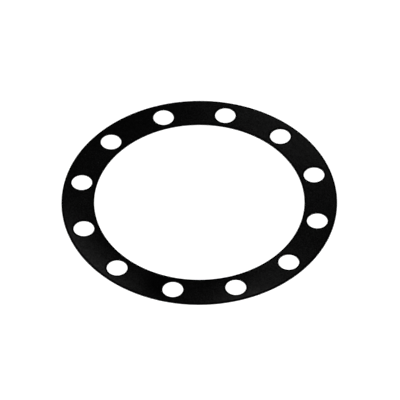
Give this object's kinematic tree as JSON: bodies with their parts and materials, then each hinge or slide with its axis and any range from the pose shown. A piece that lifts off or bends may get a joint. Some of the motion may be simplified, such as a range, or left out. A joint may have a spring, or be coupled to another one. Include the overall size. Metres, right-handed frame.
{
  "type": "rubber flange gasket",
  "caption": "Flat full-face ring gasket of thin black rubber sheet, with a wide central port and a circle of bolt holes, that seals two bolted flanges.",
  "frame": {"origin": "centre of the ring on its lower sealing face, the face it lies on", "axes": "+Z along the ring's axis, out of the upper sealing face; the bolt holes straddle X and Y, so +X and +Y pass midway between two holes"},
  "size_m": [0.24, 0.24, 0.001],
  "materials": {
    "rubber": "satin black, fine calendered grain"
  },
  "bodies": {
    "root": {"flange_gasket": "rubber"}
  },
  "joints": []
}
